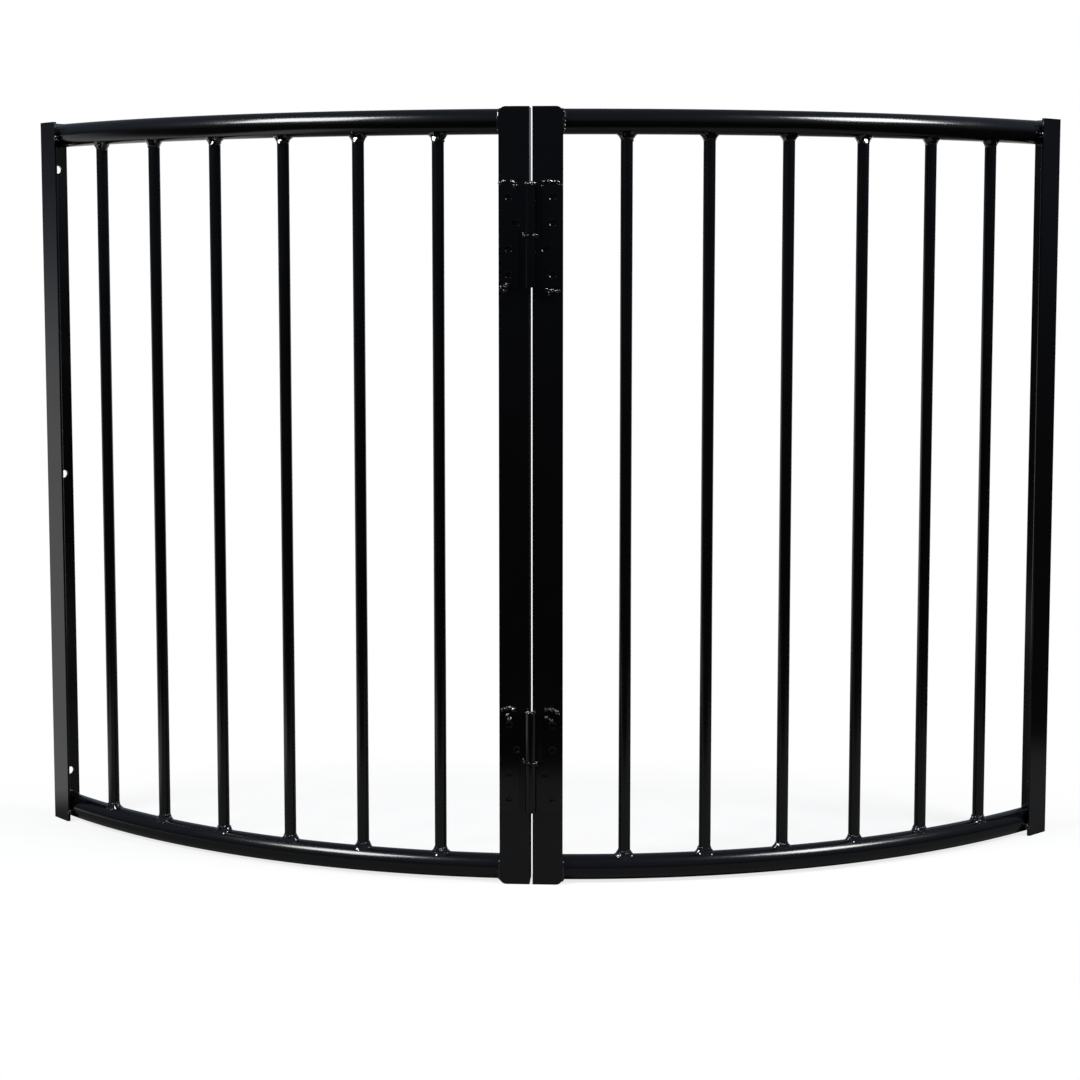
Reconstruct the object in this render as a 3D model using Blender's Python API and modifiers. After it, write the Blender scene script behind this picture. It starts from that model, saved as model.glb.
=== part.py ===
"""Corner hay rack: two welded halves, hinged in the middle, that close off a stable corner in a quarter circle.

Units are metres, +Z is up, the convex front faces -Y. The origin is under the middle of the rack, on the floor.
Each half is an angle-iron wall post and centre post, two bent tube rails and a row of upright round bars.
"""
import math

import bmesh
import bpy
from mathutils import Matrix, Vector

for old_object in list(bpy.data.objects):
    bpy.data.objects.remove(old_object)

# Driving dimensions
POST_LENGTH = 0.770
ANGLE_LEG = 0.030
ANGLE_THICKNESS = 0.003
ANGLE_ROOT_RADIUS = 0.0007
ANGLE_TOE_RADIUS = 0.0012
CENTRE_POST_CORNER_RADIUS = 0.007
WALL_POST_CORNER_RADIUS = 0.0015
RAIL_DIAMETER = 0.025
RAIL_WALL = 0.0015
RAIL_BEND_RADIUS = 0.760
RAIL_END_MARGIN = 0.0015
CORNER_ANGLE = math.radians(90)
BAR_DIAMETER = 0.012
BARS_PER_HALF = 6
END_BAR_ANGLE = math.radians(7.0)
POST_GAP = 0.003
WALL_HOLE_DIAMETER = 0.0085
WALL_HOLE_FROM_HEEL = 0.019
WALL_HOLE_FROM_END = 0.050
HINGE_HEIGHT = 0.100
HINGE_FROM_END = 0.075
LEAF_WIDTH = 0.0310
LEAF_THICKNESS = 0.0022
LEAF_CORNER_RADIUS = 0.0015
KNUCKLE_RELIEF = 0.006
PIN_DIAMETER = 0.006
WASHER_THICKNESS = 0.003
SCREW_HOLE_DIAMETER = 0.0052
SCREW_SINK_DIAMETER = 0.0092
SCREW_HOLES_PER_LEAF = 4
SCREW_HOLE_PITCH = 0.025
SCREW_HOLE_OUT = 0.0215
SCREW_HOLE_IN = 0.0140
INNER_SCREW_HOLE = 1

# Clearances
FIT = 0.0003
PIN_FIT = 0.0003
KNUCKLE_PROUD = 0.0002

# Facets of the round shapes
RAIL_SIDES = 24
RAIL_STEPS = 18
BAR_SIDES = 20
KNUCKLE_SIDES = 32
HOLE_SIDES = 24
FILLET_STEPS = 4
WELD_DISTANCE = 0.00001
SHARP_ANGLE = math.radians(30)
FLAT_ANGLE = math.radians(0.1)

# Sizes that follow
HALF_ANGLE = CORNER_ANGLE / 2
RAIL_RADIUS = RAIL_DIAMETER / 2
BAR_RADIUS = BAR_DIAMETER / 2
RAIL_LOW_Z = RAIL_END_MARGIN + RAIL_RADIUS
RAIL_HIGH_Z = POST_LENGTH - RAIL_LOW_Z
FLANGE_BACK = RAIL_BEND_RADIUS + RAIL_RADIUS + FIT
FLANGE_FRONT = FLANGE_BACK + ANGLE_THICKNESS
KNUCKLE_BORE_RADIUS = PIN_DIAMETER / 2 + PIN_FIT
BARREL_RADIUS = KNUCKLE_BORE_RADIUS + LEAF_THICKNESS
PIN_RADIUS_FROM_CORNER = FLANGE_FRONT + FIT - KNUCKLE_PROUD + BARREL_RADIUS
KNUCKLE_LENGTH = (HINGE_HEIGHT - WASHER_THICKNESS - 2 * FIT) / 2
REAR_OF_WALL_POST = (FLANGE_FRONT - ANGLE_LEG) * math.cos(HALF_ANGLE)
CORNER_Y = (PIN_RADIUS_FROM_CORNER + BARREL_RADIUS + REAR_OF_WALL_POST) / 2
FRONT_FACE_Y = CORNER_Y - FLANGE_FRONT
PIN_Y = CORNER_Y - PIN_RADIUS_FROM_CORNER
HINGE_MIDDLES = {
    "upper": POST_LENGTH - HINGE_FROM_END - HINGE_HEIGHT / 2,
    "lower": HINGE_FROM_END + HINGE_HEIGHT / 2,
}
SIDES = {"left": -1, "right": 1}

rack = bpy.data.collections.new("corner_hay_rack")
cutters = bpy.data.collections.new("cutters")
bpy.context.scene.collection.children.link(rack)
bpy.context.scene.collection.children.link(cutters)

# The right half hangs from this empty, which stands on the pins' axis, and turns about its Z
right_half_pivot = bpy.data.objects.new("right_half_pivot", None)
right_half_pivot.location = (0, PIN_Y, POST_LENGTH / 2)
rack.objects.link(right_half_pivot)


def make_material(name, colour, roughness, metallic):
    material = bpy.data.materials.new(name)
    material.use_nodes = True
    shader = material.node_tree.nodes["Principled BSDF"]
    shader.inputs["Base Color"].default_value = (*colour, 1)
    shader.inputs["Roughness"].default_value = roughness
    shader.inputs["Metallic"].default_value = metallic
    return material


black_powder_coat = make_material("black_powder_coat", (0.012, 0.012, 0.013), 0.25, 0.0)
hinge_black_coat = make_material("hinge_black_coat", (0.014, 0.014, 0.015), 0.22, 0.0)


def add_object(name, mesh, collection):
    made = bpy.data.objects.new(name, mesh)
    collection.objects.link(made)
    return made


def finish(made, material, side=0):
    """Give a piece its material, shade its round faces smooth, and hang it from the pivot if it is on the right."""
    if side > 0:
        made.parent = right_half_pivot
        made.matrix_parent_inverse = Matrix.Translation(-right_half_pivot.location)
    made.data.materials.clear()
    made.data.materials.append(material)
    made.data.shade_smooth()
    made.data.set_sharp_from_angle(angle=SHARP_ANGLE)


def curve_to_mesh(curve_object):
    """Turn a curve object into a mesh object with its caps welded on, each one flat face, in the same place."""
    bpy.context.view_layer.update()
    evaluated = curve_object.evaluated_get(bpy.context.evaluated_depsgraph_get())
    mesh = bpy.data.meshes.new_from_object(evaluated)
    work = bmesh.new()
    work.from_mesh(mesh)
    bmesh.ops.remove_doubles(work, verts=work.verts, dist=WELD_DISTANCE)
    bmesh.ops.dissolve_limit(work, angle_limit=FLAT_ANGLE, verts=work.verts, edges=work.edges)
    bmesh.ops.recalc_face_normals(work, faces=work.faces)
    work.to_mesh(mesh)
    work.free()
    name = curve_object.name
    collection = curve_object.users_collection[0]
    place = curve_object.matrix_world.copy()
    bpy.data.objects.remove(curve_object)
    made = add_object(name, mesh, collection)
    made.matrix_world = place
    return made


def outline_solid(name, points, thickness, collection):
    """A flat outline in local XY, extruded to a plate that is centred on its own plane."""
    curve = bpy.data.curves.new(name, "CURVE")
    curve.dimensions = "2D"
    curve.fill_mode = "BOTH"
    curve.extrude = thickness / 2
    spline = curve.splines.new("POLY")
    spline.points.add(len(points) - 1)
    for spline_point, (x, y) in zip(spline.points, points):
        spline_point.co = (x, y, 0, 1)
    spline.use_cyclic_u = True
    made = bpy.data.objects.new(name, curve)
    collection.objects.link(made)
    return curve_to_mesh(made)


def cylinder(name, radius, length, sides, collection, centre=(0, 0, 0), axis=(0, 0, 1)):
    """A cylinder along axis, about its centre."""
    mesh = bpy.data.meshes.new(name)
    work = bmesh.new()
    bmesh.ops.create_cone(work, cap_ends=True, segments=sides, radius1=radius, radius2=radius, depth=length)
    work.to_mesh(mesh)
    work.free()
    made = add_object(name, mesh, collection)
    turn = Vector((0, 0, 1)).rotation_difference(Vector(axis)).to_matrix().to_4x4()
    made.matrix_world = Matrix.Translation(centre) @ turn
    return made


def combine(target, other, operation):
    """A Boolean with one other body, which stays as a hidden guide."""
    other.hide_render = True
    other.display_type = "WIRE"
    modifier = target.modifiers.new(other.name, "BOOLEAN")
    modifier.operation = operation
    modifier.solver = "EXACT"
    modifier.object = other


def cut_out(target, spaces):
    """Cut all of the spaces, which don't touch each other, out of the target in one Boolean."""
    group = bpy.data.collections.new(target.name + "_spaces")
    cutters.children.link(group)
    for space in spaces:
        cutters.objects.unlink(space)
        group.objects.link(space)
        space.hide_render = True
        space.display_type = "WIRE"
    modifier = target.modifiers.new(group.name, "BOOLEAN")
    modifier.operation = "DIFFERENCE"
    modifier.solver = "EXACT"
    modifier.operand_type = "COLLECTION"
    modifier.collection = group


def arc_points(centre, radius, start, end):
    angles = [start + (end - start) * i / FILLET_STEPS for i in range(FILLET_STEPS + 1)]
    return [(centre[0] + radius * math.cos(a), centre[1] + radius * math.sin(a)) for a in angles]


def outer_corners(width, low, high, radius):
    """The two rounded corners at x = width of an upright outline, from the low one to the high one."""
    quarter = math.pi / 2
    return (arc_points((width - radius, low + radius), radius, -quarter, 0)
            + arc_points((width - radius, high - radius), radius, 0, quarter))


def upright_plate(name, points, thickness, origin, along, collection):
    """A plate whose outline runs along a level direction and up, and that is centred on the origin's plane."""
    upright = Vector((0, 0, 1))
    plate = outline_solid(name, points, thickness, collection)
    turn = Matrix((along, upright, along.cross(upright))).transposed().to_4x4()
    plate.data.transform(Matrix.Translation(origin) @ turn)
    return plate


def angle_profile():
    """Section of the angle iron: heel at the origin, one leg along +X, the other along +Y, root and toes rounded."""
    inner = ANGLE_THICKNESS + ANGLE_ROOT_RADIUS
    toe = ANGLE_LEG - ANGLE_TOE_RADIUS
    edge = ANGLE_THICKNESS - ANGLE_TOE_RADIUS
    quarter = math.pi / 2
    points = [(0, 0), (ANGLE_LEG, 0)]
    points += arc_points((toe, edge), ANGLE_TOE_RADIUS, 0, quarter)
    points += arc_points((inner, inner), ANGLE_ROOT_RADIUS, 3 * quarter, 2 * quarter)
    points += arc_points((edge, toe), ANGLE_TOE_RADIUS, 0, quarter)
    points += [(0, ANGLE_LEG)]
    return points


def on_arc(side, angle, radius):
    """A point at that radius from the corner, that angle round from the middle towards the side's wall."""
    return Vector((side * radius * math.sin(angle), CORNER_Y - radius * math.cos(angle), 0))


def angle_post(name, heel, front_leg, back_leg, corner_radius):
    """An angle-iron post whose front leg has its free corners rounded at the top and the bottom."""
    section = [heel + front_leg * x + back_leg * y for x, y in angle_profile()]
    post = outline_solid(name, [(point.x, point.y) for point in section], POST_LENGTH, rack)
    post.data.transform(Matrix.Translation((0, 0, POST_LENGTH / 2)))
    outline = [(-ANGLE_LEG, POST_LENGTH), (-ANGLE_LEG, 0)] + outer_corners(ANGLE_LEG, 0, POST_LENGTH, corner_radius)
    block = upright_plate(name + "_outline", outline, 4 * ANGLE_LEG, heel, front_leg, cutters)
    combine(post, block, "INTERSECT")
    return post


def centre_post(side_name, side):
    heel = Vector((side * POST_GAP / 2, FRONT_FACE_Y, 0))
    post = angle_post(side_name + "_centre_post", heel, Vector((side, 0, 0)), Vector((0, 1, 0)),
                      CENTRE_POST_CORNER_RADIUS)
    finish(post, black_powder_coat, side)


def wall_post(side_name, side):
    outward = Vector((side * math.sin(HALF_ANGLE), -math.cos(HALF_ANGLE), 0))
    towards_wall = Vector((side * math.cos(HALF_ANGLE), math.sin(HALF_ANGLE), 0))
    heel = on_arc(side, HALF_ANGLE, FLANGE_FRONT)
    post = angle_post(side_name + "_wall_post", heel, -towards_wall, -outward, WALL_POST_CORNER_RADIUS)
    hole_line = heel - outward * WALL_HOLE_FROM_HEEL
    holes = []
    for number, height in enumerate((WALL_HOLE_FROM_END, POST_LENGTH / 2, POST_LENGTH - WALL_HOLE_FROM_END), 1):
        centre = hole_line + Vector((0, 0, height))
        holes.append(cylinder(f"{side_name}_wall_hole_{number}", WALL_HOLE_DIAMETER / 2, 4 * ANGLE_THICKNESS,
                              HOLE_SIDES, cutters, centre, towards_wall))
    cut_out(post, holes)
    finish(post, black_powder_coat, side)


def rail(side_name, side, level_name, height):
    """A bent tube with open ends, from the centre post's side leg to the wall post's: a ring swept round the corner."""
    name = f"{side_name}_{level_name}_rail"
    start = math.asin((POST_GAP / 2 + ANGLE_THICKNESS + FIT) / (RAIL_BEND_RADIUS - RAIL_RADIUS))
    end = HALF_ANGLE - math.asin((ANGLE_THICKNESS + FIT) / (RAIL_BEND_RADIUS - RAIL_RADIUS))
    first = start if side > 0 else -end
    mesh = bpy.data.meshes.new(name)
    work = bmesh.new()
    ring_place = Matrix.Translation((RAIL_BEND_RADIUS, 0, 0)) @ Matrix.Rotation(math.pi / 2, 4, "X")
    bmesh.ops.create_circle(work, cap_ends=False, radius=RAIL_RADIUS, segments=RAIL_SIDES, matrix=ring_place)
    work.to_mesh(mesh)
    work.free()
    made = add_object(name, mesh, rack)
    made.location = (0, CORNER_Y, height)
    made.rotation_euler.z = first - math.pi / 2
    bend = made.modifiers.new("bend", "SCREW")
    bend.axis = "Z"
    bend.angle = end - start
    bend.steps = RAIL_STEPS
    bend.render_steps = RAIL_STEPS
    bend.merge_threshold = WELD_DISTANCE
    wall = made.modifiers.new("tube_wall", "SOLIDIFY")
    wall.thickness = RAIL_WALL
    wall.offset = -1
    finish(made, black_powder_coat, side)


def bar(side_name, side, number):
    """An upright bar, cut square, between the crowns of the two rails."""
    step = (HALF_ANGLE - 2 * END_BAR_ANGLE) / (BARS_PER_HALF - 1)
    place = on_arc(side, END_BAR_ANGLE + step * (number - 1), RAIL_BEND_RADIUS)
    low = RAIL_LOW_Z + RAIL_RADIUS + FIT
    high = RAIL_HIGH_Z - RAIL_RADIUS - FIT
    place.z = (low + high) / 2
    made = cylinder(f"{side_name}_bar_{number}", BAR_RADIUS, high - low, BAR_SIDES, rack, place)
    finish(made, black_powder_coat, side)


def leaf_outline(knuckle_up):
    """Outline from the pin's axis outwards, just inside the knuckle's ends, cut back beside the other knuckle."""
    half = HINGE_HEIGHT / 2 - KNUCKLE_PROUD
    split = HINGE_HEIGHT / 2 - KNUCKLE_LENGTH + KNUCKLE_PROUD
    cut_back = BARREL_RADIUS + KNUCKLE_RELIEF
    outside = outer_corners(LEAF_WIDTH, -half, half, LEAF_CORNER_RADIUS)
    if knuckle_up:
        return outside + [(0, half), (0, split), (cut_back, split), (cut_back, -half)]
    return outside + [(cut_back, half), (cut_back, -split), (0, -split), (0, -half)]


def screw_hole(name, place):
    """The space of a countersunk screw hole, turned about Y: wide in front of place, then a cone, then the bore."""
    bore_radius = SCREW_HOLE_DIAMETER / 2
    sink_radius = SCREW_SINK_DIAMETER / 2
    sink_depth = sink_radius - bore_radius
    profile = [(0, 2 * LEAF_THICKNESS), (bore_radius, 2 * LEAF_THICKNESS), (bore_radius, sink_depth),
               (sink_radius + sink_depth, -sink_depth), (0, -sink_depth)]
    mesh = bpy.data.meshes.new(name)
    work = bmesh.new()
    corners = [work.verts.new((out, along, 0)) for out, along in profile]
    for first, second in zip(corners, corners[1:]):
        work.edges.new((first, second))
    work.to_mesh(mesh)
    work.free()
    made = add_object(name, mesh, cutters)
    made.location = place
    turned = made.modifiers.new("turned", "SCREW")
    turned.axis = "Y"
    turned.steps = HOLE_SIDES
    turned.render_steps = HOLE_SIDES
    turned.use_merge_vertices = True
    turned.merge_threshold = WELD_DISTANCE
    return made


def leaf(side_name, side, hinge_name, middle):
    """A hinge leaf: a plate on the post's front with one knuckle, upper on the left leaf and lower on the right."""
    knuckle_up = side < 0
    name = f"{hinge_name}_hinge_{side_name}_leaf"
    front = BARREL_RADIUS - KNUCKLE_PROUD - LEAF_THICKNESS
    centre = Vector((0, front + LEAF_THICKNESS / 2, 0))
    plate = upright_plate(name, leaf_outline(knuckle_up), LEAF_THICKNESS, centre, Vector((side, 0, 0)), rack)
    plate.location = (0, PIN_Y, middle)

    knuckle_rise = (HINGE_HEIGHT - KNUCKLE_LENGTH) / 2 * (1 if knuckle_up else -1)
    knuckle_centre = (0, PIN_Y, middle + knuckle_rise)
    knuckle = cylinder(name + "_knuckle", BARREL_RADIUS, KNUCKLE_LENGTH, KNUCKLE_SIDES, cutters, knuckle_centre)
    combine(plate, knuckle, "UNION")
    bore = cylinder(name + "_bore", KNUCKLE_BORE_RADIUS, 2 * KNUCKLE_LENGTH, KNUCKLE_SIDES, cutters, knuckle_centre)

    spaces = [bore]
    last_hole = SCREW_HOLES_PER_LEAF - 1
    inner_hole = INNER_SCREW_HOLE if knuckle_up else last_hole - INNER_SCREW_HOLE
    for number in range(SCREW_HOLES_PER_LEAF):
        height = (last_hole / 2 - number) * SCREW_HOLE_PITCH
        out = SCREW_HOLE_IN if number == inner_hole else SCREW_HOLE_OUT
        spaces.append(screw_hole(f"{name}_hole_{number + 1}", (side * out, PIN_Y + front, middle + height)))
    cut_out(plate, spaces)
    finish(plate, hinge_black_coat, side)


def pin(hinge_name, middle):
    made = cylinder(f"{hinge_name}_hinge_pin", PIN_DIAMETER / 2, HINGE_HEIGHT, KNUCKLE_SIDES, rack,
                    (0, PIN_Y, middle))
    finish(made, hinge_black_coat)


def washer(hinge_name, middle):
    """A thrust washer on the pin, between the two knuckles."""
    made = cylinder(f"{hinge_name}_hinge_washer", BARREL_RADIUS, WASHER_THICKNESS, KNUCKLE_SIDES, rack,
                    (0, PIN_Y, middle))
    bore = cylinder(f"{hinge_name}_washer_bore", KNUCKLE_BORE_RADIUS, 2 * WASHER_THICKNESS, KNUCKLE_SIDES, cutters,
                    (0, PIN_Y, middle))
    cut_out(made, [bore])
    finish(made, hinge_black_coat)


for side_label, side_sign in SIDES.items():
    centre_post(side_label, side_sign)
    wall_post(side_label, side_sign)
    rail(side_label, side_sign, "top", RAIL_HIGH_Z)
    rail(side_label, side_sign, "bottom", RAIL_LOW_Z)
    for bar_number in range(1, BARS_PER_HALF + 1):
        bar(side_label, side_sign, bar_number)
    for hinge_label, hinge_middle in HINGE_MIDDLES.items():
        leaf(side_label, side_sign, hinge_label, hinge_middle)
for hinge_label, hinge_middle in HINGE_MIDDLES.items():
    pin(hinge_label, hinge_middle)
    washer(hinge_label, hinge_middle)
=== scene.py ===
"""Looks of the corner hay rack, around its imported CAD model: two coated steel halves on a pair of hinges.

Metres, +Z up, and the convex front faces -Y. Sizes come from the CAD nodes wherever a node has them.
"""
import math

import bmesh
import bpy
from mathutils import Matrix, Vector


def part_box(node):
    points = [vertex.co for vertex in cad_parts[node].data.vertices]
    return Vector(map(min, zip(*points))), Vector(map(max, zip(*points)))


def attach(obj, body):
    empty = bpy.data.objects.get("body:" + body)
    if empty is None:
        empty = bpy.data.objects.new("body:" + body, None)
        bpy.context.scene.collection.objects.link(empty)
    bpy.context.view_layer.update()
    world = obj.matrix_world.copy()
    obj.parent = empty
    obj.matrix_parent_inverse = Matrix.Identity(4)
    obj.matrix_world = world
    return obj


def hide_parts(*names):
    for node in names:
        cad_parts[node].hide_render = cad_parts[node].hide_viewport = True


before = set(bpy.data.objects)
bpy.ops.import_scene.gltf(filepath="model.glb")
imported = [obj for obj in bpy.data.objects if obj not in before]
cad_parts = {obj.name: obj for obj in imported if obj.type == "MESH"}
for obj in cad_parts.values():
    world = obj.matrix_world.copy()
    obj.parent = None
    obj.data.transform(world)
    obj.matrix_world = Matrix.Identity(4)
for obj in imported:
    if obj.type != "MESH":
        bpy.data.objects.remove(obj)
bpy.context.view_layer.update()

# Wall posts and centre posts: lengths of 30 mm hot-rolled angle iron, sawn square. The front legs of the
# centre posts have their free corners ground round, and the wall posts' side legs are drilled for the bolts.
# All are sprayed with glossy black powder coat, but little of it reached the slot between the centre posts.
post_low, post_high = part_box("right_centre_post")
wall_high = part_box("right_wall_post")[1]
POST_LENGTH = post_high.z - post_low.z
ANGLE_LEG = post_high.y - post_low.y
FRONT_Y = post_low.y
POST_GAP = 2 * post_low.x
ANGLE_THICKNESS = 0.003
ANGLE_ROOT_RADIUS = 0.0012
ANGLE_TOE_RADIUS = 0.0012
CENTRE_CORNER_RADIUS = 0.007
WALL_CORNER_RADIUS = 0.0015
CORNER_STEPS = 6
ROUND_STEPS = 14
COATED_EDGE = 0.00045
SHARP_EDGE = math.radians(35)
FLAT_WEIGHT = 100
WALL_HOLE_DIAMETER = 0.0085
WALL_HOLE_FROM_HEEL = 0.019
WALL_HOLE_FROM_END = 0.050
HOLE_SIDES = 48
WALL_ANGLE = math.radians(45)
FRONT_RADIUS = wall_high.x / math.sin(WALL_ANGLE)
CORNER_Y = FRONT_Y + FRONT_RADIUS
CORNER = Vector((0, CORNER_Y, 0))
UP = Vector((0, 0, 1))
BACK = Vector((0, 1, 0))
SIDES = {"left": -1, "right": 1}
COAT_BLACK = (0.0012, 0.0012, 0.0015, 1)
COAT_DUSTED = (0.009, 0.009, 0.010, 1)
COAT_INPUTS = {"Peel Width": 0.006, "Nib Spacing": 0.014, "Nib Height": 4.0, "Gloss": 0.19,
               "Gloss Drift": 0.05, "Dust": 0.3}
PEEL_DEPTH = 0.0000034
WAVE_WIDTH, WAVE_HEIGHT = 5.0, 2.5
NIB_SIZE = 0.055
GLOSS_PATCH = 0.045
DUST_SPECK, DUST_PATCH = 0.0011, 0.03
SPECKS_SHOW, PATCHES_SHOW = (0.55, 0.75), (0.4, 0.7)
SLOT_DULL_START, SLOT_DULL_END = 0.06, 0.14
SLOT_EDGE_START, SLOT_EDGE_END = 0.0001, 0.0004
SLOT_ROUGHNESS = 1.0


def node(tree, kind, inputs=(), **settings):
    """Add a node, set its options and feed its inputs: output sockets are linked and plain values are set."""
    made = tree.nodes.new(kind)
    for name, value in settings.items():
        setattr(made, name, value)
    for key, value in dict(inputs).items():
        if isinstance(value, bpy.types.NodeSocket):
            tree.links.new(value, made.inputs[key])
        else:
            made.inputs[key].default_value = value
    return made


def calc(tree, operation, *values, **settings):
    """The output of a Math node."""
    return node(tree, "ShaderNodeMath", enumerate(values), operation=operation, **settings).outputs[0]


def faded(tree, value, start, end, low=0.0, high=1.0):
    """The value carried smoothly from low, at start, to high, at end."""
    inputs = {"Value": value, "From Min": start, "From Max": end, "To Min": low, "To Max": high}
    return node(tree, "ShaderNodeMapRange", inputs, interpolation_type="SMOOTHSTEP").outputs["Result"]


def split_xyz(tree, vector):
    """The three outputs of a Separate XYZ node."""
    return node(tree, "ShaderNodeSeparateXYZ", {0: vector}).outputs


def powder_coat_group():
    """Where a baked powder coat varies: its colour, its gloss, and the height of its orange peel and nibs."""
    tree = bpy.data.node_groups.new("powder_coat", "ShaderNodeTree")
    for label, value in COAT_INPUTS.items():
        tree.interface.new_socket(label, in_out="INPUT", socket_type="NodeSocketFloat").default_value = value
    for label in ("Black", "Dusted"):
        tree.interface.new_socket(label, in_out="INPUT", socket_type="NodeSocketColor")
    for label, kind in (("Colour", "Color"), ("Roughness", "Float"), ("Height", "Float")):
        tree.interface.new_socket(label, in_out="OUTPUT", socket_type=f"NodeSocket{kind}")
    given = tree.nodes.new("NodeGroupInput").outputs
    place = tree.nodes.new("ShaderNodeTexCoord").outputs["Object"]

    def clouds(width, detail):
        inputs = {"Vector": place, "Scale": calc(tree, "DIVIDE", 1.0, width), "Detail": detail}
        return node(tree, "ShaderNodeTexNoise", inputs).outputs["Fac"]

    peel = clouds(given["Peel Width"], 1.0)
    waves = clouds(calc(tree, "MULTIPLY", given["Peel Width"], WAVE_WIDTH), 1.0)
    scale = calc(tree, "DIVIDE", 1.0, given["Nib Spacing"])
    cells = node(tree, "ShaderNodeTexVoronoi", {"Vector": place, "Scale": scale})
    chance = node(tree, "ShaderNodeSeparateColor", {"Color": cells.outputs["Color"]}).outputs["Red"]
    nib_size = calc(tree, "MULTIPLY", chance, NIB_SIZE)
    nib = faded(tree, calc(tree, "DIVIDE", cells.outputs["Distance"], nib_size), 1.0, 0.0)
    height = calc(tree, "MULTIPLY_ADD", nib, given["Nib Height"], peel)
    height = calc(tree, "MULTIPLY_ADD", waves, WAVE_HEIGHT, height)

    drift = calc(tree, "SUBTRACT", clouds(GLOSS_PATCH, 3.0), 0.5)
    both_ways = calc(tree, "MULTIPLY", given["Gloss Drift"], 2.0)
    roughness = calc(tree, "MULTIPLY_ADD", drift, both_ways, given["Gloss"])
    specks = faded(tree, clouds(DUST_SPECK, 2.0), *SPECKS_SHOW)
    patches = faded(tree, clouds(DUST_PATCH, 2.0), *PATCHES_SHOW)
    mask = calc(tree, "MULTIPLY", calc(tree, "MULTIPLY", specks, patches), given["Dust"])
    colour = node(tree, "ShaderNodeMix", {0: mask, 6: given["Black"], 7: given["Dusted"]}, data_type="RGBA")
    node(tree, "NodeGroupOutput", {"Colour": colour.outputs[2], "Roughness": roughness, "Height": height})
    return tree


powder_coat = powder_coat_group()


def coated_steel(name, peel_depth, **values):
    """Black powder coat over steel: a smooth dielectric skin with the shared colour, gloss and height."""
    material = bpy.data.materials.new(name)
    material.use_nodes = True
    tree = material.node_tree
    shader = tree.nodes["Principled BSDF"]
    coat = node(tree, "ShaderNodeGroup", node_tree=powder_coat)
    for label, value in {"Black": COAT_BLACK, "Dusted": COAT_DUSTED, **values}.items():
        coat.inputs[label.replace("_", " ").title()].default_value = value
    bump = node(tree, "ShaderNodeBump", {"Height": coat.outputs["Height"], "Distance": peel_depth})
    tree.links.new(coat.outputs["Colour"], shader.inputs["Base Color"])
    tree.links.new(coat.outputs["Roughness"], shader.inputs["Roughness"])
    tree.links.new(bump.outputs["Normal"], shader.inputs["Normal"])
    return material


black_powder_coat = coated_steel("black_powder_coat", PEEL_DEPTH)


def slot_coat():
    """The coat of the centre posts, dull on the two faces of the narrow slot that little spray reached."""
    material = coated_steel("centre_post_coat", PEEL_DEPTH)
    tree = material.node_tree
    shader = tree.nodes["Principled BSDF"]
    gloss = shader.inputs["Roughness"].links[0].from_socket
    place = split_xyz(tree, tree.nodes.new("ShaderNodeTexCoord").outputs["Object"])
    off_face = calc(tree, "SUBTRACT", calc(tree, "ABSOLUTE", place["X"]), POST_GAP / 2)
    in_slot = faded(tree, off_face, SLOT_EDGE_START, SLOT_EDGE_END, 1.0, 0.0)
    below_end = calc(tree, "SUBTRACT", POST_LENGTH, place["Z"])
    little_spray = faded(tree, below_end, SLOT_DULL_START, SLOT_DULL_END, 0.0, SLOT_ROUGHNESS)
    dull = calc(tree, "MULTIPLY", in_slot, little_spray)
    tree.links.new(calc(tree, "MAXIMUM", gloss, dull), shader.inputs["Roughness"])
    return material


centre_post_coat = slot_coat()


def add_piece(name, mesh):
    """A new object at the origin."""
    made = bpy.data.objects.new(name, mesh)
    bpy.context.scene.collection.objects.link(made)
    return made


def as_mesh(name, work):
    """The worked mesh as mesh data."""
    mesh = bpy.data.meshes.new(name)
    work.to_mesh(mesh)
    work.free()
    return mesh


def closed_piece(name, work):
    """The worked mesh as an object, with its faces turned outwards."""
    bmesh.ops.recalc_face_normals(work, faces=work.faces)
    return add_piece(name, as_mesh(name, work))


def bake(piece):
    """Turn what the piece's modifiers make into its plain mesh, and take the modifiers off."""
    bpy.context.view_layer.update()
    evaluated = piece.evaluated_get(bpy.context.evaluated_depsgraph_get())
    mesh = bpy.data.meshes.new_from_object(evaluated)
    piece.modifiers.clear()
    old = piece.data
    piece.data = mesh
    mesh.name = piece.name
    bpy.data.meshes.remove(old)


def arc(centre, radius, start, end, steps=CORNER_STEPS):
    """Points on a circle, with angles in quarter turns."""
    angles = [math.pi / 2 * (start + (end - start) * i / steps) for i in range(steps + 1)]
    return [(centre[0] + radius * math.cos(a), centre[1] + radius * math.sin(a)) for a in angles]


def extruded(name, outline, low, high, across, along, through):
    """A closed body: an outline in the across and along directions, carried from low to high in the third."""
    place = Matrix((across, along, through)).transposed()
    work = bmesh.new()
    first = work.faces.new([work.verts.new(place @ Vector((u, v, low))) for u, v in outline])
    grown = bmesh.ops.extrude_face_region(work, geom=[first])["geom"]
    moved = [item for item in grown if isinstance(item, bmesh.types.BMVert)]
    bmesh.ops.translate(work, verts=moved, vec=place @ Vector((0, 0, high - low)))
    return closed_piece(name, work)


def round_tool(name, radius, length, centre, axis, sides=HOLE_SIDES):
    """A round bar that only serves to cut a hole."""
    work = bmesh.new()
    bmesh.ops.create_cone(work, cap_ends=True, segments=sides, radius1=radius, radius2=radius, depth=length)
    mesh = as_mesh(name, work)
    turn = UP.rotation_difference(Vector(axis)).to_matrix().to_4x4()
    mesh.transform(Matrix.Translation(centre) @ turn)
    return add_piece(name, mesh)


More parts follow.
